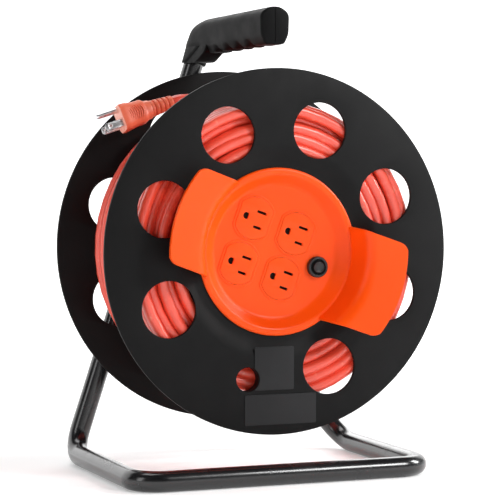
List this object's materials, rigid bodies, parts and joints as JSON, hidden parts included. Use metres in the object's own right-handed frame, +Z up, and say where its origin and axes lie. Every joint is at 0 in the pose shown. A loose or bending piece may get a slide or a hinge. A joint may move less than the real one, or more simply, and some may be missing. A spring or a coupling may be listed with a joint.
{
  "type": "extension cord reel",
  "caption": "Hand-wound extension cord reel: flanged drum of wound cord on a bent tube stand, with grip, outlet panel, winding paddles and reset breaker.",
  "frame": {"origin": "on the floor, below the middle of the reel's box, measured without the loose cord end and plug", "axes": "+Z up; the drum's axle runs along Y and the outlets face -Y; +X is to the right seen from the front"},
  "size_m": [0.295, 0.2016, 0.3797],
  "materials": {
    "tube": "gloss black powder coat",
    "grip": "satin black moulded plastic",
    "flange": "fine textured charcoal plastic",
    "panel": "satin orange moulded plastic",
    "cord": "smooth satin orange-red jacket",
    "plug": "satin moulded",
    "breaker": "satin black",
    "inner": "plain moulded",
    "bush": "natural nylon",
    "steel": "zinc plated",
    "brass": "plain",
    "label": "satin film"
  },
  "bodies": {
    "stand": {"stand_frame": "tube", "stand_brace": "tube", "grip_left": "grip", "grip_right": "grip", "axle": "steel", "axle_spacer": "inner", "axle_washer": "steel", "axle_nut": "steel", "thrust_washer": "steel", "retaining_clip": "steel", "grip_screw_1": "steel", "grip_screw_2": "steel", "grip_screw_3": "steel", "frame_rivet_1": "steel", "frame_rivet_2": "steel"},
    "drum": {"front_flange": "flange", "rear_flange": "flange", "core_barrel": "inner", "front_bush": "bush", "rear_bush": "bush", "outlet_bowl": "panel", "outlet_housing": "inner", "cord_gland": "inner", "inner_lead": "cord", "breaker_body": "breaker", "breaker_collar": "breaker", "rating_label": "label", "notice_label": "label", "cord_winding": "cord", "cord_tail": "cord", "strain_relief": "plug", "plug_body": "plug", "plug_blade_1": "steel", "plug_blade_2": "steel", "plug_ground_pin": "steel", "outlet_1": "panel", "outlet_2": "panel", "outlet_3": "panel", "outlet_4": "panel", "bus_neutral": "brass", "bus_hot": "brass", "bus_ground": "brass", "bowl_screw_1": "steel", "tie_screw_1": "steel", "bowl_screw_2": "steel", "tie_screw_2": "steel", "bowl_screw_3": "steel", "tie_screw_3": "steel", "bowl_screw_4": "steel", "tie_screw_4": "steel"},
    "breaker_button": {"breaker_button": "breaker"}
  },
  "joints": [
    {"name": "drum_spin", "type": "hinge", "parent": "stand", "child": "drum", "pos_m": [0, -0.00498, 0.184], "axis": [0, -1, 0], "continuous": true},
    {"name": "breaker_reset", "type": "slide", "parent": "drum", "child": "breaker_button", "axis": [0, -1, 0], "range_m": [0, 0.003]}
  ]
}
